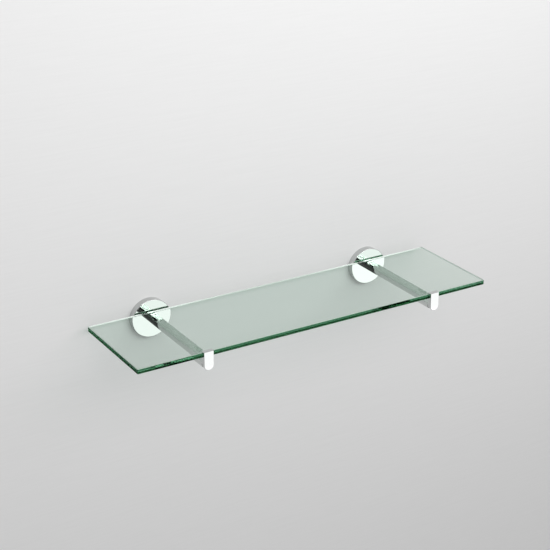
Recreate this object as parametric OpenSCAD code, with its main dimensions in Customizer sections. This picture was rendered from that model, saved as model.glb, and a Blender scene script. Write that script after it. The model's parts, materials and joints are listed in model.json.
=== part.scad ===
// Wall shelf: a glass shelf that rests on two chromed brackets with hidden wall fixings.
// Millimetres. The wall is the plane y = 0, the room lies at y < 0, and +Z is up.
// The origin is on the wall, midway between the brackets, at the height of the bars.

/* [Glass] */
// Width of the glass along the wall
glass_w = 450; // [350:10:900]
// Depth of the glass from its back edge to its front edge
glass_d = 122; // [80:1:200]
// Thickness of the glass
glass_t = 6; // [4:0.5:10]
// Radius of the glass corners, seen from above
glass_corner_r = 1.5; // [1:0.1:10]
// Width of the ground arris along every edge of the glass
glass_arris = 0.5; // [0.2:0.1:0.8]
// Distance from each end of the glass in to the centre line of its bracket
bracket_inset = 78.5; // [60:0.5:120]

/* [Rosette] */
// Outside diameter of the round cover at the wall
rosette_d = 48.5; // [44:0.5:70]
// How far the cover stands out from the wall
rosette_depth = 8.5; // [7.5:0.1:14]
// Thickness of the cover's rim
rosette_wall = 2.5; // [2:0.1:3.5]
// Thickness of the cover's face
rosette_face_t = 2; // [1.5:0.1:3]
// Radius of the edge between face and rim
rosette_edge_r = 0.6; // [0.2:0.1:1.2]

/* [Bar] */
// Diameter of the round bar under the glass
bar_d = 12; // [10:0.5:16]
// Depth of the milled seat below the top of the bar
seat_drop = 0.8; // [0.4:0.1:1.6]
// Length of full round bar left against the cover, behind the seat
collar_l = 0.8; // [0.3:0.1:1.2]
// Diameter of the spigot that locates the bar in the cover
spigot_d = 7.5; // [6.5:0.1:9]
// Depth of the flat that keys the spigot
spigot_flat = 0.8; // [0.4:0.1:1]
// Gap between the cover's face and the back edge of the glass
back_gap = 1.8; // [1.4:0.1:6]
// Gap between the front edge of the glass and the front stop
front_gap = 3.5; // [2:0.1:6]

/* [Front stop] */
// Width of the stop plate, which is also the diameter of its round foot
stop_w = 11.5; // [8:0.5:14]
// Thickness of the stop plate
stop_t = 5; // [4:0.1:8]
// Height of the stop above the top of the glass
stop_rise = 4.1; // [1:0.1:12]
// Chamfer round the front of the stop plate
stop_chamfer = 0.3; // [0.1:0.1:0.8]
// Metal left in front of the stud's hole
stop_skin = 1.5; // [1:0.1:2]

/* [Pads] */
// Thickness of the clear pads between bar and glass
pad_t = 0.5; // [0.3:0.1:2]
// Length of a seat pad along the bar
pad_l = 14; // [8:1:30]
// Seat left bare on each side of a pad
pad_margin = 0.7; // [0.3:0.1:1.2]
// Distance from an edge of the glass to the nearer end of a pad
pad_inset = 8; // [2:1:20]
// Width of the buffer behind the stop
buffer_w = 8; // [5:0.5:11]
// How far the buffer reaches above the glass
buffer_rise = 1; // [0:0.1:3]
// Radius of the buffer's edges
buffer_edge_r = 1; // [0.3:0.1:1.4]
// Running gap between the buffer and the glass
buffer_gap = 0.3; // [0.2:0.1:1]

/* [Wall plate] */
// Thickness of the hidden wall plate
plate_t = 5.6; // [5:0.1:6.2]
// Radial gap between the wall plate and the cover's rim
plate_gap = 0.25; // [0.1:0.05:0.6]
// Depth of the groove round the wall plate's rim
groove_depth = 1.7; // [1.2:0.1:2]
// Distance from the plate's rim in to each wall screw
screw_inset = 7.5; // [6.8:0.1:8]
// Sideways travel of the lower wall screw, used to level the seat
slot_travel = 3; // [1:0.5:5]
// Chamfer that leads the cover onto the plate
plate_lead = 0.5; // [0.2:0.1:0.9]

/* [Wall screws] */
// Diameter of the wall screws' thread
screw_d = 4; // [3.5:0.1:4.5]
// How much thinner their plain neck is, from the head to the face of the wall
screw_neck_step = 0.6; // [0.2:0.1:1]
// Length of the wall screws under the head
screw_l = 35; // [30:1:60]
// Diameter of the wall screws' pan heads
screw_head_d = 7.8; // [7:0.1:8.4]
// Height of the wall screws' pan heads
screw_head_h = 2.6; // [2:0.1:2.8]
// Length of the wall screws' points
screw_point_l = 5; // [3:0.5:8]

/* [Bar screw] */
// Diameter of the screw that holds the bar to the cover
bar_screw_d = 5; // [4:0.1:5.5]
// Length of that screw under its head
bar_screw_l = 16; // [10:1:25]
// Diameter of its head
bar_head_d = 8.5; // [7.5:0.1:10]
// Height of its head
bar_head_h = 3.3; // [2.5:0.1:4]
// Hexagon socket of that screw, across flats
bar_socket = 4; // [3:0.5:5]
// Diameter of the washer under its head
washer_d = 12; // [10:0.5:13]
// Thickness of that washer
washer_t = 1; // [0.6:0.1:1.2]

/* [Stud and grub screw] */
// Diameter of the stud that joins stop and bar
stud_d = 4; // [3:0.5:6]
// Length of the stud inside the bar
stud_in_bar = 8.5; // [5:0.5:15]
// Diameter of the grub screw under the cover
grub_d = 4; // [3:0.5:4.5]
// Length of the grub screw
grub_l = 4; // [3.5:0.1:5]
// Hexagon socket of the grub screw, across flats
grub_socket = 2; // [1.5:0.5:2.5]

/* [Hidden] */

$fn = 64;
cut = 0.5;             // overshoot of a cutter past the face it opens
thread_clear = 0.05;   // radial clearance of a screw in its tapped hole
screw_clear = 0.25;    // radial clearance of a screw in a plain hole
head_clear = 0.2;      // clearance round a screw head in its counterbore
head_sink = 0.3;       // how far a wall screw's head lies below the plate's face
fit_clear = 0.05;      // radial clearance of the spigot in the cover
spigot_short = 0.2;    // how much the spigot stops short of the cover's inner face
hole_end = 1;          // drilled depth left past the end of a screw or stud
bore_room = 1.5;       // room round the washer inside the plate's bore
grub_tip_gap = 0.2;    // gap between the grub screw's point and the groove's root
socket_depth = 1.8;    // depth of the hexagon sockets
recess_w = 0.9;        // width of a cross recess
recess_depth = 1.5;    // depth of a cross recess
dome_r = 6;            // radius of the pan heads' domes
stud_end = 0.5;        // chamfer on the ends of the studs and the bar screws

// Heights above the bar's axis
seat_h = bar_d / 2 - seat_drop;
glass_h = seat_h + pad_t;
stop_top = glass_h + glass_t + stop_rise;

// Distances out from the wall
face_in = rosette_depth - rosette_face_t;
glass_back = rosette_depth + back_gap;
glass_front = glass_back + glass_d;
stop_back = glass_front + front_gap;
groove_out = plate_t / 2;

// Distance between the centre lines of the two brackets
bracket_pitch = glass_w - 2 * bracket_inset;

// Radii and widths that follow from the sizes above
rosette_r = rosette_d / 2;
cup_r = rosette_r - rosette_wall;
plate_r = cup_r - plate_gap;
plate_bore_r = washer_d / 2 + bore_room;
screw_offset = plate_r - screw_inset;
seat_w = 2 * sqrt(pow(bar_d / 2, 2) - pow(seat_h, 2));
pad_w = seat_w - 2 * pad_margin;
counterbore_d = screw_head_d + 2 * head_clear;
counterbore_depth = screw_head_h + head_sink;
stud_in_stop = stop_t - stop_skin - stud_end;

// Colours
chrome = [0.80, 0.81, 0.82];
steel = [0.62, 0.63, 0.65];
zinc = [0.70, 0.71, 0.70];
silicone = [0.90, 0.93, 0.92, 0.6];
glass_green = [0.62, 0.75, 0.69, 0.55];

// Placing

// One bracket's own frame: x to the right, y up, z out from the wall
module at_bracket(side) {
  translate([side * bracket_pitch / 2, 0, 0]) rotate([90, 0, 0]) children();
}

// A stadium: a slot or pad of width w whose ends are centred travel apart along x
module stadium(w, travel, h) {
  for (end = [-1, 1]) translate([end * travel / 2, 0, 0]) cylinder(d = w, h = h);
  if (travel > 0) translate([-travel / 2, -w / 2, 0]) cube([travel, w, h]);
}

// A hexagon socket, given across its flats
module hex_socket(across, depth) {
  cylinder(d = across / cos(30), h = depth, $fn = 6);
}

// A rod with a chamfer of size c at each end
module chamfered_rod(d, length, c) {
  rotate_extrude()
    polygon([[0, 0], [d / 2 - c, 0], [d / 2, c], [d / 2, length - c], [d / 2 - c, length], [0, length]]);
}

// Glass

// Half of the edge section of the glass, as wide as half_w, with both arrises ground
module glass_section(half_w) {
  polygon([
    [0, 0], [half_w - glass_arris, 0], [half_w, glass_arris],
    [half_w, glass_t - glass_arris], [half_w - glass_arris, glass_t], [0, glass_t]
  ]);
}

// The whole section, mirrored about its middle
module glass_full_section(half_w) {
  glass_section(half_w);
  mirror([1, 0]) glass_section(half_w);
}

module glass_shelf() {
  straight_w = glass_w - 2 * glass_corner_r;
  straight_d = glass_d - 2 * glass_corner_r;
  color(glass_green)
  translate([0, -(glass_back + glass_front) / 2, glass_h]) {
    // The body between the two ends
    translate([-straight_w / 2, 0, 0]) rotate([90, 0, 90])
      linear_extrude(straight_w) glass_full_section(glass_d / 2);
    // The body between the front and back edges
    translate([0, straight_d / 2, 0]) rotate([90, 0, 0])
      linear_extrude(straight_d) glass_full_section(glass_w / 2);
    // The four corners
    for (x = [-1, 1], y = [-1, 1])
      translate([x * straight_w / 2, y * straight_d / 2, 0])
        rotate_extrude() glass_section(glass_corner_r);
  }
}

// Rosette: the cover over the wall plate

// The keyed spigot's outline, grown by the given clearance
module spigot_outline(clear) {
  r = spigot_d / 2 + clear;
  intersection() {
    circle(r = r);
    translate([-r, -r]) square([2 * r, 2 * r - spigot_flat]);
  }
}

// Section of the cup from its axis out to its rim, wall side down
module rosette_section() {
  difference() {
    union() {
      square([rosette_r - rosette_edge_r, rosette_depth]);
      square([rosette_r, rosette_depth - rosette_edge_r]);
      translate([rosette_r - rosette_edge_r, rosette_depth - rosette_edge_r]) circle(r = rosette_edge_r);
    }
    translate([-cut, -cut]) square([cup_r + cut, face_in + cut]);
  }
}

module rosette() {
  color(chrome)
  difference() {
    rotate_extrude($fn = 128) intersection() {
      rosette_section();
      square([rosette_r, rosette_depth]);
    }
    // Keyed hole for the bar's spigot
    translate([0, 0, face_in - cut]) linear_extrude(rosette_face_t + 2 * cut) spigot_outline(fit_clear);
    // Tapped hole for the grub screw, on the underside
    translate([0, 0, groove_out]) rotate([90, 0, 0]) translate([0, 0, cup_r - cut])
      cylinder(r = grub_d / 2 + thread_clear, h = rosette_wall + 2 * cut);
  }
}

// Wall plate: the disc that the wall screws hold, with a groove for the grub screw
module wall_plate() {
  color(zinc)
  difference() {
    rotate_extrude($fn = 128) polygon([
      [plate_bore_r, 0], [plate_r, 0],
      [plate_r, groove_out - groove_depth],
      [plate_r - groove_depth, groove_out],
      [plate_r, groove_out + groove_depth],
      [plate_r, plate_t - plate_lead], [plate_r - plate_lead, plate_t], [plate_bore_r, plate_t]
    ]);
    // Upper hole, round
    translate([0, screw_offset, 0]) screw_seat(0);
    // Lower hole, slotted sideways to level the bracket
    translate([0, -screw_offset, 0]) screw_seat(slot_travel);
  }
}

// A wall screw's hole with its counterbore, cut from the plate's back face
module screw_seat(travel) {
  translate([0, 0, -cut]) stadium(screw_d + 2 * screw_clear, travel, plate_t + 2 * cut);
  translate([0, 0, plate_t - counterbore_depth])
    stadium(counterbore_d, travel, counterbore_depth + cut);
}

// Bar: turned from round stock, with a flat milled on top to seat the glass
module bar() {
  color(chrome)
  difference() {
    union() {
      translate([0, 0, rosette_depth]) cylinder(d = bar_d, h = stop_back - rosette_depth);
      translate([0, 0, face_in + spigot_short])
        linear_extrude(rosette_face_t - spigot_short + cut) spigot_outline(0);
    }
    // Seat for the glass
    translate([-bar_d / 2, seat_h, rosette_depth + collar_l])
      cube([bar_d, seat_drop + cut, stop_back - rosette_depth]);
    // Tapped hole for the bar screw
    translate([0, 0, face_in])
      cylinder(r = bar_screw_d / 2 + thread_clear, h = bar_screw_l - washer_t + hole_end);
    // Tapped hole for the stud
    translate([0, 0, stop_back - stud_in_bar - hole_end])
      cylinder(r = stud_d / 2 + thread_clear, h = stud_in_bar + hole_end + cut);
  }
}

// Front stop: a plate with a round foot that follows the bar and a top that keeps the glass in

// The foot, a disc with its front edge chamfered
module stop_foot() {
  r = stop_w / 2;
  rotate_extrude() polygon([[0, 0], [r, 0], [r, stop_t - stop_chamfer], [r - stop_chamfer, stop_t], [0, stop_t]]);
}

// The upright, a block with its sides and top chamfered at the front
module stop_upright() {
  half = stop_w / 2;
  intersection() {
    translate([0, stop_top, 0]) rotate([90, 0, 0]) linear_extrude(stop_top) polygon([
      [-half, 0], [half, 0], [half, stop_t - stop_chamfer], [half - stop_chamfer, stop_t],
      [-half + stop_chamfer, stop_t], [-half, stop_t - stop_chamfer]
    ]);
    rotate([90, 0, 90]) translate([0, 0, -half]) linear_extrude(stop_w) polygon([
      [0, 0], [stop_top, 0], [stop_top, stop_t - stop_chamfer], [stop_top - stop_chamfer, stop_t],
      [0, stop_t]
    ]);
  }
}

module front_stop() {
  color(chrome)
  translate([0, 0, stop_back]) difference() {
    union() {
      stop_foot();
      stop_upright();
    }
    translate([0, 0, -cut]) cylinder(r = stud_d / 2 + thread_clear, h = stop_t - stop_skin + cut);
  }
}

// Stud that joins the stop to the bar
module stop_stud() {
  color(steel)
  translate([0, 0, stop_back - stud_in_bar]) chamfered_rod(stud_d, stud_in_bar + stud_in_stop, stud_end);
}

// Screw that pulls the bar against the cover from inside
module bar_screw() {
  color(steel)
  translate([0, 0, face_in - washer_t]) difference() {
    union() {
      chamfered_rod(bar_screw_d, bar_screw_l, stud_end);
      translate([0, 0, -bar_head_h]) cylinder(d = bar_head_d, h = bar_head_h);
    }
    translate([0, 0, -bar_head_h - cut]) hex_socket(bar_socket, socket_depth + cut);
  }
}

module bar_washer() {
  color(steel)
  translate([0, 0, face_in - washer_t]) difference() {
    cylinder(d = washer_d, h = washer_t);
    translate([0, 0, -cut]) cylinder(r = bar_screw_d / 2 + screw_clear, h = washer_t + 2 * cut);
  }
}

// Grub screw: its point sits in the wall plate's groove and locks the cover on
module grub_screw() {
  color(steel)
  translate([0, 0, groove_out]) rotate([90, 0, 0])
  translate([0, 0, plate_r - groove_depth + grub_tip_gap]) difference() {
    rotate_extrude() polygon([[0, 0], [grub_d / 2, grub_d / 2], [grub_d / 2, grub_l], [0, grub_l]]);
    translate([0, 0, grub_l - socket_depth]) hex_socket(grub_socket, socket_depth + cut);
  }
}

// Wall screw: pan head towards the room, point in the wall
module wall_screw() {
  neck_d = screw_d - screw_neck_step;
  neck_l = plate_t - counterbore_depth;
  difference() {
    union() {
      // Neck, thread and point
      rotate([180, 0, 0]) rotate_extrude() polygon([
        [0, 0], [neck_d / 2, 0], [neck_d / 2, neck_l], [screw_d / 2, neck_l],
        [screw_d / 2, screw_l - screw_point_l], [0, screw_l]
      ]);
      // Domed head
      rotate_extrude() intersection() {
        square([screw_head_d / 2, screw_head_h]);
        translate([0, screw_head_h - dome_r]) circle(r = dome_r);
      }
    }
    // Cross recess
    for (turn = [0, 90]) rotate(turn)
      translate([-screw_d / 2, -recess_w / 2, screw_head_h - recess_depth])
        cube([screw_d, recess_w, recess_depth + cut]);
  }
}

module wall_screws() {
  color(steel)
  for (y = [-screw_offset, screw_offset])
    translate([0, y, plate_t - counterbore_depth]) wall_screw();
}

// Clear pads on the seat, one near each long edge of the glass
module seat_pads() {
  color(silicone)
  for (middle = [glass_back + pad_inset + pad_l / 2, glass_front - pad_inset - pad_l / 2])
    translate([0, seat_h, middle]) rotate([-90, 90, 0]) stadium(pad_w, pad_l - pad_w, pad_t);
}

// Clear buffer on the stop's back face, in front of the edge of the glass
module stop_buffer() {
  low = seat_h + buffer_gap;
  high = glass_h + glass_t + buffer_rise;
  half = buffer_w / 2;
  color(silicone)
  translate([0, 0, glass_front + buffer_gap]) linear_extrude(front_gap - buffer_gap) {
    for (x = [buffer_edge_r - half, half - buffer_edge_r], y = [low + buffer_edge_r, high - buffer_edge_r])
      translate([x, y]) circle(r = buffer_edge_r);
    translate([-half, low + buffer_edge_r]) square([buffer_w, high - low - 2 * buffer_edge_r]);
    translate([buffer_edge_r - half, low]) square([buffer_w - 2 * buffer_edge_r, high - low]);
  }
}

left = -1;
right = 1;
glass_shelf();
at_bracket(left) rosette();  // rosette_left
at_bracket(right) rosette();  // rosette_right
at_bracket(left) wall_plate();  // wall_plate_left
at_bracket(right) wall_plate();  // wall_plate_right
at_bracket(left) bar();  // bar_left
at_bracket(right) bar();  // bar_right
at_bracket(left) front_stop();  // front_stop_left
at_bracket(right) front_stop();  // front_stop_right
at_bracket(left) stop_stud();  // stop_stud_left
at_bracket(right) stop_stud();  // stop_stud_right
at_bracket(left) bar_screw();  // bar_screw_left
at_bracket(right) bar_screw();  // bar_screw_right
at_bracket(left) bar_washer();  // bar_washer_left
at_bracket(right) bar_washer();  // bar_washer_right
at_bracket(left) grub_screw();  // grub_screw_left
at_bracket(right) grub_screw();  // grub_screw_right
at_bracket(left) wall_screws();  // wall_screws_left
at_bracket(right) wall_screws();  // wall_screws_right
at_bracket(left) seat_pads();  // seat_pads_left
at_bracket(right) seat_pads();  // seat_pads_right
at_bracket(left) stop_buffer();  // stop_buffer_left
at_bracket(right) stop_buffer();  // stop_buffer_right
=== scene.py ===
"""Wall shelf with brackets: the look of a glass shelf on two chromed brackets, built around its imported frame.

Everything is in metres, in the frame of the part: the wall is the plane y = 0, the room lies at y < 0, and +Z is up.
Sizes of small pieces are given in millimetres, as on a drawing, and turned to metres when the piece is placed.
"""

import json
import logging
import math
from dataclasses import dataclass
from enum import Enum
from typing import Any

import bmesh
import bpy
from bpy.types import Material, Mesh, Node, NodeSocket, NodeTree, Object
from mathutils import Matrix, Vector

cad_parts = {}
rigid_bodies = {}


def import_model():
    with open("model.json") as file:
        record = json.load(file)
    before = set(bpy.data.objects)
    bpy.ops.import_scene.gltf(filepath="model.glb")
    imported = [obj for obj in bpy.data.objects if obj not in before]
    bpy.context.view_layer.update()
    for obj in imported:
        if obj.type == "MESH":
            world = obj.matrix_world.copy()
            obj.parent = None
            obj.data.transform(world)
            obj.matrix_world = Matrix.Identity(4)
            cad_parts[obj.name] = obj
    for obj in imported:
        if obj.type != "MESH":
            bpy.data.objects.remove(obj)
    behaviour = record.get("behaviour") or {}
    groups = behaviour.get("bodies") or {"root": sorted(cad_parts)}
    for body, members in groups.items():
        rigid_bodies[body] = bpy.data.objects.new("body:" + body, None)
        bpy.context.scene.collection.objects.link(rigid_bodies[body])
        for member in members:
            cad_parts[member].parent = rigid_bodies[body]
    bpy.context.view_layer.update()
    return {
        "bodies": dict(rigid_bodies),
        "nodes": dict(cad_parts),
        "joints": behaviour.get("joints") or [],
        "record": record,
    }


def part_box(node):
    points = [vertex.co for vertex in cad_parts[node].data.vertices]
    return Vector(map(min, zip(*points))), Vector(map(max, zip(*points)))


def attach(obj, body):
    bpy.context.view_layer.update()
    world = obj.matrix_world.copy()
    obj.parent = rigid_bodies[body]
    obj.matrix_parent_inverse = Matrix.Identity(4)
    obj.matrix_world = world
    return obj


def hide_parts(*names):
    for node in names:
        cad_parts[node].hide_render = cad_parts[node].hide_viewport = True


MM = 0.001
# Light goes back and forth inside the pane many times before it leaves by an edge
LIGHT_BOUNCES = 32

logging.basicConfig(level=logging.INFO, format="%(levelname)s %(message)s")
log = logging.getLogger("wall_shelf")

Colour = tuple[float, float, float, float]
Place = tuple[float, float, float]
Outline = list[tuple[float, float]]

WHITE: Colour = (1.0, 1.0, 1.0, 1.0)


class Body(Enum):
    """The two rigid bodies of the shelf."""

    BRACKETS = "brackets"
    GLASS = "glass"


class Side(Enum):
    """The two brackets, as someone who faces the wall sees them."""

    LEFT = "left"
    RIGHT = "right"

    def node(self, kind: str) -> str:
        """The name of this side's CAD node of one kind."""
        return f"{kind}_{self.value}"


class Drive(Enum):
    """The recess that turns a fastener."""

    NONE = "none"
    CROSS = "cross"
    HEXAGON = "hexagon"


# Node trees


def linear(code: str) -> Colour:
    """Turns an sRGB hex code into a linear colour.

    Args:
        code: six hex digits, such as "C8D2CB".

    Returns:
        Linear red, green, blue and an alpha of one.
    """
    out = []
    for start in (0, 2, 4):
        value = int(code[start : start + 2], 16) / 255
        # The sRGB curve: straight near black, then a power
        out.append(value / 12.92 if value <= 0.04045 else ((value + 0.055) / 1.055) ** 2.4)
    return (out[0], out[1], out[2], 1.0)


def add(tree: NodeTree, kind: str, values: dict[int | str, Any] | None = None, **settings: Any) -> Node:
    """Adds one node with its settings, its socket values and its links.

    Args:
        tree: the node tree that takes the node.
        kind: the node's type name.
        values: per input socket, by name or number, a plain value, an output socket, a list of output sockets or a
            Number.
        settings: attributes of the node, such as operation="MULTIPLY".

    Returns:
        The new node.
    """
    node = tree.nodes.new(kind)
    for name, value in settings.items():
        setattr(node, name, value)
    for key, value in (values or {}).items():
        if isinstance(key, int):
            socket = node.inputs[key]
        else:
            socket = next(s for s in node.inputs if s.name == key and s.enabled)
        for feed in value if isinstance(value, list) else [value]:
            if isinstance(feed, Number):
                feed = feed.socket
            if isinstance(feed, NodeSocket):
                tree.links.new(feed, socket)
            else:
                socket.default_value = feed
    return node


def result(node: Node) -> NodeSocket:
    """The output that a node uses with its present settings."""
    return next(s for s in node.outputs if s.enabled)


@dataclass(frozen=True)
class Number:
    """A number that a node tree works out, so that a rule for a shape or a pattern can be written as a sum."""

    tree: NodeTree
    socket: NodeSocket

    def math(self, operation: str, *others: "Number | float") -> "Number":
        """Feeds this number and up to two others to a Math node, whose operation is a name such as "FRACT"."""
        values: dict[int | str, Any] = dict(enumerate((self, *others)))
        return Number(self.tree, add(self.tree, "ShaderNodeMath", values, operation=operation).outputs[0])

    def __add__(self, other: "Number | float") -> "Number":
        """This number plus another."""
        return self.math("ADD", other)

    def __sub__(self, other: "Number | float") -> "Number":
        """This number less another."""
        return self.math("SUBTRACT", other)

    def __mul__(self, other: "Number | float") -> "Number":
        """This number times another."""
        return self.math("MULTIPLY", other)

    def __truediv__(self, other: "Number | float") -> "Number":
        """This number divided by another."""
        return self.math("DIVIDE", other)

    def short_of(self, whole: "Number | float") -> "Number":
        """How far this number falls short of another."""
        return self.math("MULTIPLY_ADD", -1.0, whole)

    def pick(self, low: "Number | float", high: "Number | float") -> "Number":
        """Blends two numbers: low where this one is 0, high where it is 1."""
        mix = add(self.tree, "ShaderNodeMix", {"Factor": self, "A": low, "B": high}, data_type="FLOAT")
        return Number(self.tree, result(mix))


# Finishes


def new_material(name: str) -> tuple[Material, NodeTree, Node]:
    """Starts a material with nothing but its output node.

    Args:
        name: the finish in a maker's words.

    Returns:
        The material, its node tree and its output node.
    """
    material = bpy.data.materials.new(name)
    material.use_nodes = True
    tree = material.node_tree
    tree.nodes.clear()
    return material, tree, add(tree, "ShaderNodeOutputMaterial")


def grain(tree: NodeTree, size: Place, detail: float = 2.0, roughness: float = 0.5) -> Number:
    """A noise in the object's own coordinates.

    Args:
        tree: the material's node tree.
        size: the real size of one patch along x, y and z, in millimetres.
        detail: how many finer layers the noise has.
        roughness: how strong the finer layers are.

    Returns:
        The noise, about 0.5 on average.
    """
    place = add(tree, "ShaderNodeTexCoord").outputs["Object"]
    scale = tuple(1 / (s * MM) for s in size)
    spread = add(tree, "ShaderNodeMapping", {"Vector": place, "Scale": scale})
    values = {"Vector": spread.outputs[0], "Scale": 1.0, "Detail": detail, "Roughness": roughness}
    return Number(tree, add(tree, "ShaderNodeTexNoise", values).outputs["Fac"])


def blend_colours(share: Number, low: str | NodeSocket, high: str | NodeSocket) -> NodeSocket:
    """Blends two colours, each a hex code or a node's output: low where the share is 0, high where it is 1."""
    first, second = (linear(colour) if isinstance(colour, str) else colour for colour in (low, high))
    return result(add(share.tree, "ShaderNodeMix", {"Factor": share, "A": first, "B": second}, data_type="RGBA"))


def metal_surface(
    tree: NodeTree,
    out: Node,
    colour: Colour | NodeSocket,
    rough: Number,
    relief: Number,
    depth: float,
    strength: float = 1.0,
) -> None:
    """Ends a metal's node tree with bare metal that has a fine relief.

    Args:
        tree: the material's node tree.
        out: its output node.
        colour: the metal's colour.
        rough: its roughness.
        relief: the height of its surface, from 0 to 1.
        depth: what a height of 1 measures, in millimetres.
        strength: how much of the relief shows.
    """
    bump = add(tree, "ShaderNodeBump", {"Height": relief, "Distance": depth * MM, "Strength": strength})
    values = {"Base Color": colour, "Metallic": 1.0, "Roughness": rough, "Normal": bump.outputs[0]}
    metal = add(tree, "ShaderNodeBsdfPrincipled", values)
    tree.links.new(metal.outputs[0], out.inputs["Surface"])


@dataclass(frozen=True)
class FloatGlass:
    """Clear soda-lime float glass, cut and ground: nearly colourless through its faces and green at its edges.

    Its faces are fire-finished and perfectly flat, so they neither blur nor bend what is behind them. The long edges
    are polished, the ends have a satin grind, and the narrow arrises are ground matt, which makes them catch the light.
    """

    face_tint: str = "F5FAF7"
    # The edges' green, with painted light on their high half and painted shade on their low half
    edge_high_painted_light: str = "97CBAF"
    edge_low_painted_shade: str = "3F7550"
    end_high_painted_light: str = "6A937C"
    back_tint: str = "A0BEAA"
    back_entry_tint: str = "5E7868"
    arris_tint: str = "E6F6EC"
    lamp_tint: str = "F4F7F6"
    edge_shade: str = "B4C8BC"
    edge_roughness: float = 0.06
    end_roughness: float = 0.22
    back_roughness: float = 0.15
    arris_roughness: float = 0.4
    arris_white: float = 0.6
    ior: float = 1.52
    # The share of light that glass mirrors, below which a view counts as steep
    least_mirror: float = 0.17
    # A normal with more z than the first is a face's, and one with less z than the second is an edge's
    face_turn: float = 0.85
    edge_turn: float = 0.5
    # The height of the pane's middle plane, below which the edges carry painted shade and above which painted light
    middle_z: float = 8.7 * MM

    def material(self) -> Material:
        """Builds the glass: it refracts, mirrors only aslant, is green at the edges and lets light from lamps through.

        Returns:
            The finished material.
        """
        material, tree, out = new_material("clear_float_glass")
        surface = add(tree, "ShaderNodeNewGeometry")
        normal = add(tree, "ShaderNodeSeparateXYZ", {0: surface.outputs["Normal"]})
        place = add(tree, "ShaderNodeSeparateXYZ", {0: add(tree, "ShaderNodeTexCoord").outputs["Object"]})
        # Level parts are faces, upright ones are edges, and the slanted ones between them are arrises
        level = Number(tree, normal.outputs["Z"]).math("ABSOLUTE")
        face = level.math("GREATER_THAN", self.face_turn)
        edge = level.math("LESS_THAN", self.edge_turn)
        inside = Number(tree, surface.outputs["Backfacing"])
        outward_y = Number(tree, normal.outputs["Y"]) * inside.pick(1.0, -1.0)
        back = outward_y.math("GREATER_THAN", self.edge_turn)
        end = Number(tree, normal.outputs["X"]).math("ABSOLUTE").math("GREATER_THAN", self.edge_turn)
        high = Number(tree, place.outputs["Z"]).math("GREATER_THAN", self.middle_z)
        # Light that came a long way through the pane is greener. The low half of each edge and end is painted darker,
        # as painted shade, and the high half lighter, as painted light
        front_painted_bands = blend_colours(high, self.edge_low_painted_shade, self.edge_high_painted_light)
        end_colour = blend_colours(high, self.edge_low_painted_shade, self.end_high_painted_light)
        back_colour = blend_colours(inside, self.back_entry_tint, self.back_tint)
        edge_colour = blend_colours(back, blend_colours(end, front_painted_bands, end_colour), back_colour)
        colour = blend_colours(face, blend_colours(edge, self.arris_tint, edge_colour), self.face_tint)
        ground = back.pick(end.pick(self.edge_roughness, self.end_roughness), self.back_roughness)
        rough = face.pick(edge.pick(self.arris_roughness, ground), 0.0)
        bent = add(tree, "ShaderNodeBsdfRefraction", {"Color": colour, "Roughness": rough, "IOR": self.ior})
        mirror = add(tree, "ShaderNodeBsdfAnisotropic", {"Color": WHITE, "Roughness": rough})
        # The faint mirror image of steep views is left out, which keeps the pane as clear as it looks
        share = Number(tree, add(tree, "ShaderNodeFresnel", {"IOR": self.ior}).outputs[0])
        share = ((share - self.least_mirror) / (1.0 - self.least_mirror)).math("MAXIMUM", 0.0)
        glass = add(tree, "ShaderNodeMixShader", {0: share, 1: bent.outputs[0], 2: mirror.outputs[0]})
        # A ground arris is white with tiny chips, which scatter light both ways
        chips = add(tree, "ShaderNodeBsdfDiffuse", {"Color": linear(self.arris_tint)})
        glow = add(tree, "ShaderNodeBsdfTranslucent", {"Color": linear(self.arris_tint)})
        white = add(tree, "ShaderNodeMixShader", {0: 0.5, 1: chips.outputs[0], 2: glow.outputs[0]})
        matt = (edge + face).short_of(1.0) * self.arris_white
        glass = add(tree, "ShaderNodeMixShader", {0: matt, 1: glass.outputs[0], 2: white.outputs[0]})
        # Light for the wall passes the faces almost whole, and the green edges hold it back
        shade = blend_colours(face, self.edge_shade, self.lamp_tint)
        through = add(tree, "ShaderNodeBsdfTransparent", {"Color": shade}).outputs[0]
        path = add(tree, "ShaderNodeLightPath").outputs
        glass = add(tree, "ShaderNodeMixShader", {0: path["Is Shadow Ray"], 1: glass.outputs[0], 2: through})
        glass = add(tree, "ShaderNodeMixShader", {0: path["Is Diffuse Ray"], 1: glass.outputs[0], 2: through})
        tree.links.new(glass.outputs[0], out.inputs["Surface"])
        return material


@dataclass(frozen=True)
class ChromePlate:
    """Polished brass under bright chrome: a cool, slightly dark mirror with the faintest haze where it was wiped."""

    colour: str = "CBCDCC"
    least_roughness: float = 0.012
    most_roughness: float = 0.03
    wipe_size: Place = (14.0, 14.0, 9.0)
    wave_size: Place = (6.0, 6.0, 6.0)
    wave_height: float = 0.0012

    def material(self) -> Material:
        """Builds the chrome.

        Returns:
            The finished material.
        """
        material, tree, out = new_material("polished_chrome_plate")
        haze = grain(tree, self.wipe_size, detail=4.0, roughness=0.6)
        rough = haze.pick(self.least_roughness, self.most_roughness)
        # The buffed metal under the plate is never quite flat: waves of about a micrometre
        wave = grain(tree, self.wave_size, detail=0.0)
        metal_surface(tree, out, linear(self.colour), rough, wave, self.wave_height)
        return material


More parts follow.
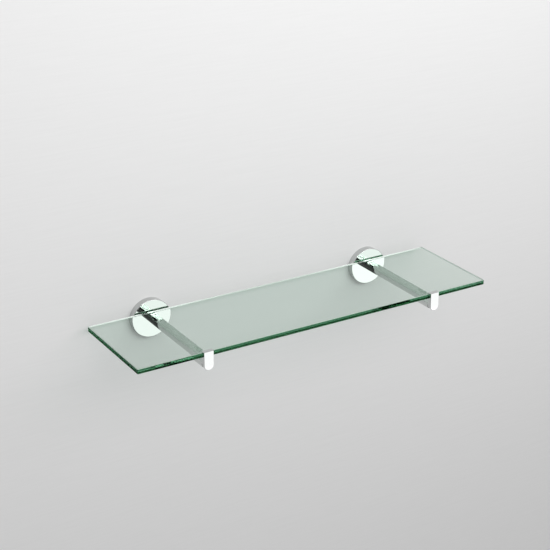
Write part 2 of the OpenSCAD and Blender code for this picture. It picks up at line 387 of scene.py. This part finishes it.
@dataclass(frozen=True)
class ZincPlate:
    """Stamped steel, electroplated with zinc and passivated: a dull grey mirror, clouded and a little blue."""

    dull: str = "A3A6A8"
    bright: str = "BFC1C0"
    dull_roughness: float = 0.46
    bright_roughness: float = 0.32
    cloud_size: Place = (5.0, 5.0, 5.0)
    scratch_size: Place = (9.0, 9.0, 0.25)
    scratch_depth: float = 0.004
    scratch_strength: float = 0.6

    def material(self) -> Material:
        """Builds the zinc plate, clouded by the bath and marked by the rolls of the sheet.

        Returns:
            The finished material.
        """
        material, tree, out = new_material("zinc_plated_steel")
        cloud = grain(tree, self.cloud_size, detail=5.0, roughness=0.6)
        colour = blend_colours(cloud, self.dull, self.bright)
        rough = cloud.pick(self.dull_roughness, self.bright_roughness)
        scratch = grain(tree, self.scratch_size, detail=3.0, roughness=0.6)
        metal_surface(tree, out, colour, rough, scratch, self.scratch_depth, self.scratch_strength)
        return material


@dataclass(frozen=True)
class StainlessSteel:
    """Cold-headed and rolled stainless fasteners: bright, polished thread crests over duller roots that are painted
    darker, as painted shade in the grooves.
    """

    # The roots' colour is darker than the crests': painted shade in the thread's grooves
    root: str = "6E6D6B"
    crest: str = "BDBCB9"
    plain: str = "B3B2AF"
    root_roughness: float = 0.5
    crest_roughness: float = 0.2
    mark_roughness: float = 0.08
    plain_roughness: tuple[float, float] = (0.2, 0.32)
    mark_size: Place = (0.5, 0.5, 0.5)
    mark_depth: float = 0.003
    mark_strength: float = 0.5

    def material(self, threaded: bool = True) -> Material:
        """Builds the stainless steel.

        Args:
            threaded: True where the piece carries the "crest" attribute, which is 1 on what the rolls have polished.

        Returns:
            The finished material.
        """
        material, tree, out = new_material("rolled_stainless_steel" if threaded else "stainless_steel")
        mark = grain(tree, self.mark_size, detail=3.0, roughness=0.6)
        if threaded:
            crest = Number(tree, add(tree, "ShaderNodeAttribute", attribute_name="crest").outputs["Fac"])
            # The roots' darker colour is painted shade in the grooves, and their higher roughness is the steel's own
            colour = blend_colours(crest, self.root, self.crest)
            rough = crest.pick(self.root_roughness, self.crest_roughness) + mark * self.mark_roughness
        else:
            colour = blend_colours(mark, self.plain, self.crest)
            rough = mark.pick(*self.plain_roughness)
        metal_surface(tree, out, colour, rough, mark, self.mark_depth, self.mark_strength)
        return material


@dataclass(frozen=True)
class ClearSilicone:
    """Moulded clear silicone: soft, faintly cloudy, and almost lost between the glass and the metal."""

    tint: str = "F4F7F5"
    ior: float = 1.06
    most_roughness: float = 0.04
    cloud_size: Place = (1.5, 1.5, 1.5)

    def material(self) -> Material:
        """Builds the silicone; its index is kept low because it wets both faces that it touches.

        Returns:
            The finished material.
        """
        material, tree, out = new_material("clear_silicone")
        rough = grain(tree, self.cloud_size, detail=3.0).pick(0.0, self.most_roughness)
        tint = linear(self.tint)
        values = {"Base Color": tint, "Roughness": rough, "IOR": self.ior, "Transmission Weight": 1.0}
        rubber = add(tree, "ShaderNodeBsdfPrincipled", values).outputs[0]
        # The light of lamps goes straight through
        through = add(tree, "ShaderNodeBsdfTransparent", {"Color": tint}).outputs[0]
        path = add(tree, "ShaderNodeLightPath").outputs
        mix = add(tree, "ShaderNodeMixShader", {0: path["Is Shadow Ray"], 1: rubber, 2: through})
        tree.links.new(mix.outputs[0], out.inputs["Surface"])
        return material


@dataclass(frozen=True)
class WallPaint:
    """Pale matt paint on smooth plaster, with the faint level strokes of a brush."""

    dull: str = "E7E7E7"
    bright: str = "ECECEC"
    roughness: float = 0.8
    stroke_size: Place = (70.0, 70.0, 2.2)

    def material(self) -> Material:
        """Builds the paint; from behind the wall is clear, so the fixings can be seen there.

        Returns:
            The finished material.
        """
        material, tree, out = new_material("matt_wall_paint")
        stroke = grain(tree, self.stroke_size, detail=2.0, roughness=0.6)
        colour = blend_colours(stroke, self.dull, self.bright)
        paint = add(tree, "ShaderNodeBsdfPrincipled", {"Base Color": colour, "Roughness": self.roughness}).outputs[0]
        clear = add(tree, "ShaderNodeBsdfTransparent").outputs[0]
        behind = add(tree, "ShaderNodeNewGeometry").outputs["Backfacing"]
        mix = add(tree, "ShaderNodeMixShader", {0: behind, 1: paint, 2: clear})
        tree.links.new(mix.outputs[0], out.inputs["Surface"])
        return material


@dataclass(frozen=True)
class FloorPaint:
    """Plain matt paint on the floor, which throws a little light back up at the wall."""

    colour: str = "E1E1E1"
    roughness: float = 0.8

    def material(self) -> Material:
        """Builds the paint.

        Returns:
            The finished material.
        """
        material, tree, out = new_material("matt_floor_paint")
        values = {"Base Color": linear(self.colour), "Roughness": self.roughness}
        paint = add(tree, "ShaderNodeBsdfPrincipled", values)
        tree.links.new(paint.outputs[0], out.inputs["Surface"])
        return material


# Meshes


def smooth(mesh: Mesh, crease: float) -> None:
    """Makes a mesh smooth apart from the edges that turn by more than the crease, in degrees."""
    mesh.shade_smooth()
    mesh.set_sharp_from_angle(angle=math.radians(crease))


def put_in_scene(name: str, mesh: Mesh) -> Object:
    """Puts a mesh into the scene.

    Args:
        name: the object's name.
        mesh: its mesh, with its place in it.

    Returns:
        The new object, at the origin.
    """
    piece = bpy.data.objects.new(name, mesh)
    bpy.context.scene.collection.objects.link(piece)
    return piece


def drawn_at(place: Place, degrees: float = 0.0) -> Matrix:
    """From a small piece's own millimetres to the frame: its origin goes to a place, and it turns about +X first."""
    turn = Matrix.Rotation(math.radians(degrees), 4, "X")
    return Matrix.Translation(place) @ turn @ Matrix.Scale(MM, 4)


def rectangle(left: float, low: float, right: float, high: float) -> Outline:
    """The four corners of an upright rectangle as x and z, anticlockwise from the front."""
    return [(left, low), (right, low), (right, high), (left, high)]


def rounded_outline(width: float, length: float, corner: float, steps: int = 8) -> Outline:
    """Points round a rectangle with round corners, centred on the origin.

    Args:
        width: its size along the first axis.
        length: its size along the second axis.
        corner: the radius of its corners; half the width gives a stadium.
        steps: how many parts each quarter turn has.

    Returns:
        The points, anticlockwise.
    """
    points = []
    for turn, (sx, sy) in enumerate(((1, 1), (-1, 1), (-1, -1), (1, -1))):
        for step in range(steps + 1):
            angle = math.pi / 2 * (turn + step / steps)
            x = sx * (width / 2 - corner) + corner * math.cos(angle)
            y = sy * (length / 2 - corner) + corner * math.sin(angle)
            points.append((x, y))
    return points


@dataclass(frozen=True)
class SoftBlock:
    """A moulded block with soft edges, in millimetres, on a flat seat at z = 0."""

    width: float
    length: float
    height: float
    corner: float
    edge: float
    crown: float = 0.0
    edge_steps: int = 5
    # Where the crown gets its rings, as shares of the way from the edge to the middle
    crown_steps: tuple[float, ...] = (0.3, 0.6, 0.85)
    # The chamfer at the foot, as a share of the edge's radius
    foot_share: float = 0.3
    least_corner: float = 0.02
    crease: float = 35.0

    def rings(self) -> list[tuple[float, float]]:
        """Works out the block's profile.

        Returns:
            Per ring, from the seat up, how far it lies inside the full outline and how high.
        """
        foot = self.edge * self.foot_share
        rings = [(foot, 0.0), (0.0, foot)]
        for step in range(self.edge_steps + 1):
            angle = math.pi / 2 * step / self.edge_steps
            fall = self.edge * (1 - math.sin(angle))
            rings.append((self.edge * (1 - math.cos(angle)), self.height - self.crown - fall))
        if self.crown:
            room = self.width / 2 - self.edge
            for share in self.crown_steps:
                rings.append((self.edge + room * share, self.height - self.crown * (1 - share) ** 2))
        return rings

    def add_to(self, shape: bmesh.types.BMesh, place: Matrix) -> None:
        """Adds the block to a bmesh.

        Args:
            shape: the bmesh that takes it.
            place: where its seat goes, and how it is turned.
        """
        loops = []
        for inset, z in self.rings():
            corner = max(self.corner - inset, self.least_corner)
            outline = rounded_outline(self.width - 2 * inset, self.length - 2 * inset, corner)
            loops.append([shape.verts.new(place @ Vector((x, y, z))) for x, y in outline])
        count = len(loops[0])
        for low, high in zip(loops, loops[1:]):
            for at in range(count):
                after = (at + 1) % count
                shape.faces.new((low[at], low[after], high[after], high[at]))
        shape.faces.new(list(reversed(loops[0])))
        shape.faces.new(loops[-1])

    def piece(self, name: str, places: list[Matrix], material: Material) -> Object:
        """Makes one plain mesh of this block, once at each place.

        Args:
            name: the piece's name.
            places: where each block's seat goes, and how it is turned.
            material: its finish.

        Returns:
            The new object, at the origin, with its place in its mesh.
        """
        shape = bmesh.new()
        for place in places:
            self.add_to(shape, place)
        bmesh.ops.recalc_face_normals(shape, faces=shape.faces[:])
        mesh = bpy.data.meshes.new(name)
        shape.to_mesh(mesh)
        shape.free()
        smooth(mesh, self.crease)
        mesh.materials.append(material)
        return put_in_scene(name, mesh)


@dataclass(frozen=True)
class Fastener:
    """A threaded fastener, in millimetres, along its own z: the head rises from z = 0 and the shank hangs below.

    Thicknesses are radii, apart from the size of the recess, which is its full width. A neck, a top or a head of 0
    keeps the thread's radius, and an end of 0 comes to a point.
    """

    # Shank: the ridge is half of the thread's foot as a share of the pitch, and both ends taper
    length: float
    thread: float
    core: float
    pitch: float
    ridge: float = 0.5
    neck_length: float = 0.0
    neck: float = 0.0
    end: float = 0.0
    end_length: float = 0.4
    top: float = 0.0
    top_length: float = 0.4
    # Head: the dome's own radius is so large by default that the head's top is flat
    head: float = 0.0
    head_height: float = 0.0
    head_dome: float = 1000.0
    head_chamfer: float = 0.0
    # Recess: the cross is two wedges, narrower at their foot and thin, as shares of its size
    drive: Drive = Drive.NONE
    drive_size: float = 0.0
    drive_depth: float = 0.0
    wedge_low: float = 0.5
    wedge_high: float = 1.5
    wedge_thin: float = 0.34
    # Mesh: the rows are one more than the steps, and two more lie on the axis and close the ends
    row: float = 0.16
    extra_rows: int = 3
    sides: int = 40
    # The lift gives a domed head a small flat top, and the head starts just above the row on its seat
    lift: float = 0.05
    head_start: float = 0.001
    weld: float = 0.002
    crease: float = 38.0
    # How many there are, in a row along y
    count: int = 1
    spacing: float = 0.0

    def tree(self) -> NodeTree:
        """Builds the node tree: a sheet is rolled up round z with a radius that follows the thread's rule.

        Returns:
            The geometry node tree, with a named input for each size.
        """
        tree = bpy.data.node_groups.new("threaded_fastener", "GeometryNodeTree")
        tree.interface.new_socket("Geometry", in_out="OUTPUT", socket_type="NodeSocketGeometry")
        for name, value in self.inputs().items():
            kind = {int: "NodeSocketInt", float: "NodeSocketFloat"}.get(type(value), "NodeSocketMaterial")
            tree.interface.new_socket(name, in_out="INPUT", socket_type=kind)
        given = add(tree, "NodeGroupInput")
        size = {s.name: Number(tree, s) for s in given.outputs if s.name in self.inputs()}
        grid = {"Size X": 1.0, "Size Y": 1.0, "Vertices X": size["Sides"], "Vertices Y": size["Rows"]}
        sheet = add(tree, "GeometryNodeMeshGrid", grid)
        spot = add(tree, "ShaderNodeSeparateXYZ", {0: add(tree, "GeometryNodeInputPosition").outputs[0]})
        turn = Number(tree, spot.outputs["X"]) + 0.5
        rise = Number(tree, spot.outputs["Y"]) + 0.5
        # The first and the last row lie on the axis and close the ends
        whole = size["Length"] + size["Head Height"]
        step = whole / (size["Rows"] - float(self.extra_rows))
        climb = rise * (whole + step * 2.0) - size["Length"] - step
        height = climb.math("MAXIMUM", size["Length"] * -1.0).math("MINIMUM", size["Head Height"])
        above_first = (climb + size["Length"]).math("GREATER_THAN", step * -0.5)
        below_last = (size["Head Height"] - climb).math("GREATER_THAN", step * -0.5)
        # Thread: a ridge that climbs one pitch per turn
        phase = (height / size["Pitch"] - turn).math("FRACT")
        ridge = (((phase - 0.5).math("ABSOLUTE") / size["Ridge"]).short_of(1.0)).math("MAXIMUM", 0.0)
        neck = (height + size["Neck Length"]).math("GREATER_THAN", 0.0)
        shank = self.shank_radius(size, height, ridge, neck)
        head = self.head_radius(size, height)
        radius = height.math("GREATER_THAN", self.head_start).pick(shank, head).math("MAXIMUM", 0.0)
        radius = radius * (above_first * below_last)
        angle = turn * math.tau
        round_axis = {0: angle.math("COSINE") * radius, 1: angle.math("SINE") * radius, 2: height}
        rolled = add(tree, "ShaderNodeCombineXYZ", round_axis)
        marked = add(
            tree,
            "GeometryNodeStoreNamedAttribute",
            {"Geometry": result(sheet), "Name": "crest", "Value": neck.pick(ridge, 1.0)},
            data_type="FLOAT",
            domain="POINT",
        )
        shaped = add(tree, "GeometryNodeSetPosition", {"Geometry": marked.outputs[0], "Position": rolled.outputs[0]})
        closed = {"Geometry": shaped.outputs[0], "Distance": self.weld}
        body = add(tree, "GeometryNodeMergeByDistance", closed).outputs[0]
        cutters = self.cutters(tree, size)
        if cutters:
            meshes = {"Mesh 1": body, "Mesh 2": cutters}
            body = add(tree, "GeometryNodeMeshBoolean", meshes, operation="DIFFERENCE", solver="EXACT").outputs[0]
        start = add(tree, "ShaderNodeCombineXYZ", {1: size["Spacing"] * (size["Count"] - 1.0) * -0.5}).outputs[0]
        offset = add(tree, "ShaderNodeCombineXYZ", {1: size["Spacing"]}).outputs[0]
        line = {"Count": size["Count"], "Start Location": start, "Offset": offset}
        points = add(tree, "GeometryNodeMeshLine", line)
        copies = add(tree, "GeometryNodeInstanceOnPoints", {"Points": points.outputs[0], "Instance": body})
        real = add(tree, "GeometryNodeRealizeInstances", {0: copies.outputs[0]})
        dressed = add(tree, "GeometryNodeSetMaterial", {"Geometry": real.outputs[0], "Material": size["Material"]})
        add(tree, "NodeGroupOutput", {"Geometry": dressed.outputs[0]})
        return tree

    def shank_radius(self, size: dict[str, Number], height: Number, ridge: Number, neck: Number) -> Number:
        """The rule for the shank: its thread, the plain neck under the head, and a taper at each end.

        Args:
            size: the tree's inputs by name.
            height: how high a point lies.
            ridge: how much of the thread's ridge stands there, from 0 to 1.
            neck: 1 on the plain neck and 0 below it.

        Returns:
            The shank's radius at that height.
        """
        thread = ridge * (size["Thread"] - size["Core"]) + size["Core"]
        shank = neck.pick(thread, size["Neck"])
        tip = (height + size["Length"]) / size["End Length"] * (size["Thread"] - size["End"]) + size["End"]
        top = height * -1.0 / size["Top Length"] * (size["Thread"] - size["Top"]) + size["Top"]
        return shank.math("MINIMUM", tip).math("MINIMUM", top)

    def head_radius(self, size: dict[str, Number], height: Number) -> Number:
        """The rule for the head: a cylinder under a dome, or with a chamfer.

        Args:
            size: the tree's inputs by name.
            height: how high a point lies.

        Returns:
            The head's radius at that height.
        """
        depth = size["Head Height"] - height + size["Lift"]
        dome = (depth * size["Head Dome"] * 2.0 - depth * depth).math("MAXIMUM", 0.0).math("SQRT")
        edge = depth + size["Head"] - size["Head Chamfer"]
        return dome.math("MINIMUM", size["Head"]).math("MINIMUM", edge)

    def cutters(self, tree: NodeTree, size: dict[str, Number]) -> list[NodeSocket]:
        """Builds the solids that cut the drive into the head or the end.

        Args:
            tree: the fastener's node tree.
            size: its inputs by name.

        Returns:
            The cutting solids' sockets, none where nothing turns the fastener.
        """
        if self.drive is Drive.NONE:
            return []
        tall = size["Drive Depth"] * 2.0
        floor = size["Head Height"] - size["Drive Depth"]
        if self.drive is Drive.HEXAGON:
            radius = size["Drive Size"] / math.sqrt(3)
            solid = add(tree, "GeometryNodeMeshCylinder", {"Vertices": 6, "Radius": radius, "Depth": tall})
            place = add(tree, "ShaderNodeCombineXYZ", {2: floor + size["Drive Depth"]})
            values = {"Geometry": solid.outputs["Mesh"], "Translation": place.outputs[0]}
            return [add(tree, "GeometryNodeTransform", values).outputs[0]]
        # Two tapered wedges make the cross
        low, high = size["Drive Size"] * self.wedge_low, size["Drive Size"] * self.wedge_high
        cone = {"Vertices": 4, "Radius Top": high, "Radius Bottom": low, "Depth": tall}
        solid = add(tree, "GeometryNodeMeshCone", cone)
        place = add(tree, "ShaderNodeCombineXYZ", {2: floor})
        wedges = []
        for quarter in (0, 1):
            values = {
                "Geometry": solid.outputs["Mesh"],
                "Translation": place.outputs[0],
                "Rotation": (0.0, 0.0, quarter * math.pi / 2),
                "Scale": (1.0, self.wedge_thin, 1.0),
            }
            wedges.append(add(tree, "GeometryNodeTransform", values).outputs[0])
        return wedges

    def inputs(self) -> dict[str, Any]:
        """Lists the tree's inputs.

        Returns:
            The inputs by name, with the values of this fastener.
        """
        whole = self.length + self.head_height
        return {
            "Length": self.length,
            "Thread": self.thread,
            "Core": self.core,
            "Pitch": self.pitch,
            "Ridge": self.ridge,
            "Neck Length": self.neck_length,
            "Neck": self.neck or self.thread,
            "End": self.end,
            "End Length": self.end_length,
            "Top": self.top or self.thread,
            "Top Length": self.top_length,
            "Head": self.head or self.thread,
            "Head Height": self.head_height,
            "Head Dome": self.head_dome,
            "Head Chamfer": self.head_chamfer,
            "Drive Size": self.drive_size,
            "Drive Depth": self.drive_depth,
            "Lift": self.lift,
            "Spacing": self.spacing,
            "Rows": int(whole / self.row) + self.extra_rows,
            "Sides": self.sides + 1,
            "Count": self.count,
            "Material": None,
        }

    def piece(self, name: str, place: Matrix, material: Material) -> Object:
        """Makes the fastener as one plain mesh.

        Args:
            name: the piece's name.
            place: where its own origin and axes go, from millimetres to metres.
            material: its finish.

        Returns:
            The new object, at the origin, with its place in its mesh.
        """
        holder = put_in_scene(name + "_rule", bpy.data.meshes.new(name + "_rule"))
        modifier = holder.modifiers.new("thread", "NODES")
        modifier.node_group = self.tree()
        values = {**self.inputs(), "Material": material}
        for item in modifier.node_group.interface.items_tree:
            if item.in_out == "INPUT":
                modifier[item.identifier] = values[item.name]
        seen = holder.evaluated_get(bpy.context.evaluated_depsgraph_get())
        mesh = bpy.data.meshes.new_from_object(seen)
        holder.modifiers.remove(modifier)
        bpy.data.objects.remove(holder)
        mesh.name = name
        mesh.transform(place)
        smooth(mesh, self.crease)
        return put_in_scene(name, mesh)


# Sub-assemblies


def dress(frame: dict[str, Any], material: Material, *names: str) -> None:
    """Gives one material to CAD nodes that keep their own shape.

    Args:
        material: the material.
        names: the nodes' names.
    """
    for name in names:
        for slot in frame["nodes"][name].material_slots:
            slot.material = material
        log.info("%s dressed in %s", name, material.name)


def mount(piece: Object, body: Body, slot: str, *nodes: str) -> None:
    """Makes a piece ride on a body and stand for its CAD nodes.

    Args:
        piece: the new piece.
        body: the body that it moves with.
        slot: the record's material slot; not used.
        nodes: the CAD nodes that it replaces.
    """
    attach(piece, body.value)
    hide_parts(*nodes)
    log.info("%s: %d faces, for %s", piece.name, len(piece.data.polygons), ", ".join(nodes))


def middle(low: Place, high: Place) -> Place:
    """The middle of a box, from its low and its high corner."""
    return ((low[0] + high[0]) / 2, (low[1] + high[1]) / 2, (low[2] + high[2]) / 2)


@dataclass(frozen=True)
class Finishes:
    """The materials that both brackets share."""

    chrome: Material
    zinc: Material
    steel: Material
    rolled_steel: Material
    silicone: Material


@dataclass
class WallFixing:
    """What holds one bracket to the wall: a grooved plate, two wall screws and the grub screw that locks the cover."""

    side: Side
    wall_screw: Fastener = Fastener(
        length=35.0,
        thread=2.0,
        core=1.45,
        pitch=1.4,
        ridge=0.26,
        neck_length=2.7,
        neck=1.7,
        end=0.02,
        end_length=5.0,
        head=3.9,
        head_height=2.57,
        head_dome=6.0,
        drive=Drive.CROSS,
        drive_size=1.9,
        drive_depth=1.5,
        count=2,
        spacing=28.0,
    )
    grub_screw: Fastener = Fastener(
        length=4.0,
        thread=2.0,
        core=1.65,
        pitch=0.7,
        end=0.05,
        end_length=1.9,
        top=1.7,
        top_length=0.3,
        drive=Drive.HEXAGON,
        drive_size=2.0,
        drive_depth=1.8,
        row=0.09,
    )

    def build(self, frame: dict[str, Any], finishes: Finishes) -> None:
        """Dresses the plate and makes the screws.

        Args:
            finishes: the shared materials.
        """
        dress(frame, finishes.zinc, self.side.node("wall_plate"))
        node = self.side.node("wall_screws")
        low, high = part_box(node)
        x, _, z = middle(low, high)
        # The screws' own z points out of the wall, and their row along it stands upright
        place = drawn_at((x, high[1] - self.wall_screw.length * MM, z), 90)
        screws = self.wall_screw.piece(f"threaded_{node}", place, finishes.rolled_steel)
        mount(screws, Body.BRACKETS, "stainless_steel", node)
        node = self.side.node("grub_screw")
        low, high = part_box(node)
        x, y, _ = middle(low, high)
        # Its socket faces down and its point up, into the groove of the plate
        grub = self.grub_screw.piece(f"threaded_{node}", drawn_at((x, y, low[2]), 180), finishes.rolled_steel)
        mount(grub, Body.BRACKETS, "stainless_steel", node)


@dataclass
class BarAndCover:
    """One chromed bar with its round cover, held together from inside by a cap screw and a washer."""

    side: Side
    cap_screw: Fastener = Fastener(
        length=16.0,
        thread=2.5,
        core=2.07,
        pitch=0.8,
        end=2.0,
        end_length=0.5,
        head=4.25,
        head_height=3.3,
        head_chamfer=0.3,
        drive=Drive.HEXAGON,
        drive_size=4.0,
        drive_depth=1.8,
        row=0.1,
        sides=48,
    )
    pad: SoftBlock = SoftBlock(width=4.56, length=13.98, height=0.46, corner=2.28, edge=0.2)
    pad_lift: float = 0.02

    def build(self, frame: dict[str, Any], finishes: Finishes) -> None:
        """Dresses bar, cover and washer, and makes the cap screw and the pads under the glass.

        Args:
            finishes: the shared materials.
        """
        dress(frame, finishes.chrome, self.side.node("rosette"), self.side.node("bar"))
        dress(frame, finishes.steel, self.side.node("bar_washer"))
        node = self.side.node("bar_screw")
        low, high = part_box(node)
        x, _, z = middle(low, high)
        # Its head faces the wall
        place = drawn_at((x, high[1] - self.cap_screw.head_height * MM, z), -90)
        screw = self.cap_screw.piece(f"threaded_{node}", place, finishes.rolled_steel)
        mount(screw, Body.BRACKETS, "stainless_steel", node)
        node = self.side.node("seat_pads")
        low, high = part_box(node)
        x, _, _ = middle(low, high)
        # One pad lies at each end of the seat, clear of the bar and of the glass by a hair
        half = self.pad.length / 2 * MM
        places = [drawn_at((x, y, low[2] + self.pad_lift * MM)) for y in (low[1] + half, high[1] - half)]
        pads = self.pad.piece(f"moulded_{node}", places, finishes.silicone)
        mount(pads, Body.BRACKETS, "clear_silicone", node)


@dataclass
class FrontStop:
    """The upright plate with a round foot that keeps the glass in, with its stud and its clear buffer."""

    side: Side
    stud: Fastener = Fastener(
        length=11.5,
        thread=2.0,
        core=1.65,
        pitch=0.7,
        end=1.5,
        end_length=0.5,
        top=1.5,
        top_length=0.5,
        row=0.09,
    )
    buffer: SoftBlock = SoftBlock(width=8.0, length=7.2, height=3.18, corner=1.0, edge=0.7, crown=0.25)
    buffer_lift: float = 0.02

    def build(self, frame: dict[str, Any], finishes: Finishes) -> None:
        """Dresses the stop and makes its stud and its buffer.

        Args:
            finishes: the shared materials.
        """
        dress(frame, finishes.chrome, self.side.node("front_stop"))
        node = self.side.node("stop_stud")
        low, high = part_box(node)
        x, _, z = middle(low, high)
        stud = self.stud.piece(f"threaded_{node}", drawn_at((x, low[1], z), 90), finishes.rolled_steel)
        mount(stud, Body.BRACKETS, "stainless_steel", node)
        node = self.side.node("stop_buffer")
        low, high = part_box(node)
        x, _, z = middle(low, high)
        # Its flat back lies on the stop, and its crowned front faces the edge of the glass
        place = drawn_at((x, low[1] + self.buffer_lift * MM, z), -90)
        buffer = self.buffer.piece(f"moulded_{node}", [place], finishes.silicone)
        mount(buffer, Body.BRACKETS, "clear_silicone", node)


@dataclass
class Bracket:
    """One whole bracket, from the wall to the front of the glass."""

    side: Side

    def build(self, frame: dict[str, Any], finishes: Finishes) -> None:
        """Builds its three sub-assemblies.

        Args:
            finishes: the shared materials.
        """
        WallFixing(self.side).build(frame, finishes)
        BarAndCover(self.side).build(frame, finishes)
        FrontStop(self.side).build(frame, finishes)


@dataclass
class GlassShelf:
    """The loose pane of glass."""

    node: str = "glass_shelf"

    def build(self, frame: dict[str, Any]) -> None:
        """Dresses the pane, whose ground arrises are already in its shape."""
        dress(frame, FloatGlass().material(), self.node)


# Studio


@dataclass(frozen=True)
class MirrorCard:
    """A dark card or a lit panel in front of the shelf that only polished surfaces show; level 1 is plain white."""

    name: str
    level: float
    outline: Outline
    y: float = -0.99

    def material(self) -> Material:
        """Builds its finish: clear until light has met a mirror.

        Returns:
            The finished material.
        """
        material, tree, out = new_material(self.name)
        depth = Number(tree, add(tree, "ShaderNodeLightPath").outputs["Glossy Depth"])
        clear = add(tree, "ShaderNodeBsdfTransparent").outputs[0]
        shine = add(tree, "ShaderNodeEmission", {"Strength": self.level}).outputs[0]
        mix = add(tree, "ShaderNodeMixShader", {0: depth.math("GREATER_THAN", 0.5), 1: clear, 2: shine})
        tree.links.new(mix.outputs[0], out.inputs["Surface"])
        return material


@dataclass
class Studio:
    """The wall, the floor, the lamp, the cards and the air round the shelf."""

    wall_half: float = 2.2
    wall_top: float = 1.6
    wall_y: float = -0.1 * MM
    floor_front: float = -1.0
    floor_z: float = -1.3
    air_level: float = 0.51
    near_card_y: float = -0.96
    key_y: float = -1.0
    key_low: tuple[float, float] = (-0.65, 0.42)
    key_high: tuple[float, float] = (1.10, 0.98)
    key_level: float = 3.5

    def sheet(self, name: str, corners: list[Place], material: Material) -> Object:
        """Makes a flat sheet.

        Args:
            name: the object's name.
            corners: its corners, anticlockwise as seen from the side that it faces.
            material: its finish.

        Returns:
            The new object.
        """
        mesh = bpy.data.meshes.new(name)
        mesh.from_pydata(corners, [], [tuple(range(len(corners)))])
        mesh.materials.append(material)
        sheet = put_in_scene(name, mesh)
        return sheet

    def room(self) -> None:
        """Builds the wall and the floor."""
        left, right = -self.wall_half, self.wall_half
        low, high = self.floor_z, self.wall_top
        # The wall stands a hair in front of the plates' backs, so these stay in the light behind it
        front, back = self.floor_front, self.wall_y
        wall = [(left, back, low), (right, back, low), (right, back, high), (left, back, high)]
        self.sheet("wall", wall, WallPaint().material())
        floor = [(left, front, low), (right, front, low), (right, back, low), (left, back, low)]
        self.sheet("floor", floor, FloorPaint().material())

    def key_lamp(self) -> None:
        """Hangs the one soft lamp that lights the wall and the shelf, facing the wall."""
        (left, low), (right, high) = self.key_low, self.key_high
        width, height = right - left, high - low
        lamp = bpy.data.lights.new("top_panel", "AREA")
        lamp.shape = "RECTANGLE"
        lamp.size, lamp.size_y = width, height
        lamp.energy = self.key_level * width * height * math.pi
        holder = bpy.data.objects.new("top_panel", lamp)
        centre = Vector(((left + right) / 2, self.key_y, (low + high) / 2))
        facing = Vector((0, 1, 0)).to_track_quat("-Z", "Y").to_matrix().to_4x4()
        holder.matrix_world = Matrix.Translation(centre) @ facing
        bpy.context.scene.collection.objects.link(holder)

    def cards(self) -> list[MirrorCard]:
        """Lists the dark cards and the bright panels that give the chrome its sharp black and white stripes.

        Returns:
            The cards, in the order in which they are hung.
        """
        left, low, right, high, near = -1.5, -1.2, 1.20, 1.3, self.near_card_y
        # The felt's stepped edge shapes the border between black and white on the covers
        step = [(-0.464, 0.3), (-0.464, 0.624), (-0.41, 0.656), (-0.35, 0.69), (-0.2865, 0.75), (-0.2865, high)]
        side = [(left, low), (-0.45, low), (-0.45, 0.3), (-0.72, 0.3), (-0.72, high), (left, high)]
        return [
            MirrorCard("black_felt", 0.003, [(-0.72, 0.3), *step, (-0.72, high)]),
            MirrorCard("side_card", 0.11, side),
            MirrorCard("low_card", 0.11, rectangle(-0.45, low, 0.75, -0.66)),
            MirrorCard("side_panel", 1.3, rectangle(0.33, -0.30, right, 0.42)),
            MirrorCard("front_panel", 1.1, rectangle(-0.42, -0.42, 0.25, 0.30)),
            MirrorCard("low_panel", 1.05, rectangle(-0.15, -0.66, 1.05, -0.455)),
            MirrorCard("left_cover_panel", 1.72, rectangle(0.24, -0.560, 0.41, -0.466), near),
            MirrorCard("left_stop_panel", 1.63, rectangle(0.24, -0.466, 0.41, -0.428), near),
            MirrorCard("right_cover_panel", 1.9, rectangle(0.74, -0.560, 0.92, -0.466), near),
            MirrorCard("right_stop_panel", 1.63, rectangle(0.74, -0.466, 0.92, -0.428), near),
        ]

    def air(self) -> None:
        """Fills the room with even white light."""
        world = bpy.data.worlds.new("studio_air")
        world.use_nodes = True
        bpy.context.scene.world = world
        tree = world.node_tree
        tree.nodes.clear()
        air = add(tree, "ShaderNodeBackground", {"Color": WHITE, "Strength": self.air_level})
        add(tree, "ShaderNodeOutputWorld", {"Surface": air.outputs[0]})

    def build(self) -> None:
        """Builds the room and its light."""
        self.room()
        self.key_lamp()
        for card in self.cards():
            corners = [(x, card.y, z) for x, z in card.outline]
            hung = self.sheet(card.name, corners, card.material())
            hung.visible_diffuse = hung.visible_shadow = False
        self.air()


@dataclass(frozen=True)
class ShelfCamera:
    """The camera, high on the left of the shelf."""

    place: Place = (-0.78889, -1.32958, 0.67159)
    towards: Place = (0.4786, 0.7873, -0.3888)
    lens: float = 94.41
    sensor: float = 36.0

    def build(self) -> Object:
        """Makes the camera and gives it to the scene.

        Returns:
            The camera's object.
        """
        data = bpy.data.cameras.new("shelf_camera")
        data.lens, data.sensor_width = self.lens, self.sensor
        camera = bpy.data.objects.new("shelf_camera", data)
        camera.location = self.place
        camera.rotation_euler = Vector(self.towards).to_track_quat("-Z", "Y").to_euler()
        bpy.context.scene.collection.objects.link(camera)
        bpy.context.scene.camera = camera
        return camera


def main() -> None:
    """Builds the shelf's look and the studio."""
    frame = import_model()
    scene = bpy.context.scene
    scene.view_settings.view_transform = "Standard"
    cycles = scene.cycles
    cycles.max_bounces = cycles.glossy_bounces = cycles.transmission_bounces = LIGHT_BOUNCES
    ShelfCamera().build()
    Studio().build()
    GlassShelf().build(frame)
    finishes = Finishes(
        chrome=ChromePlate().material(),
        zinc=ZincPlate().material(),
        steel=StainlessSteel().material(threaded=False),
        rolled_steel=StainlessSteel().material(),
        silicone=ClearSilicone().material(),
    )
    for side in Side:
        Bracket(side).build(frame, finishes)


if __name__ == "__main__":
    main()
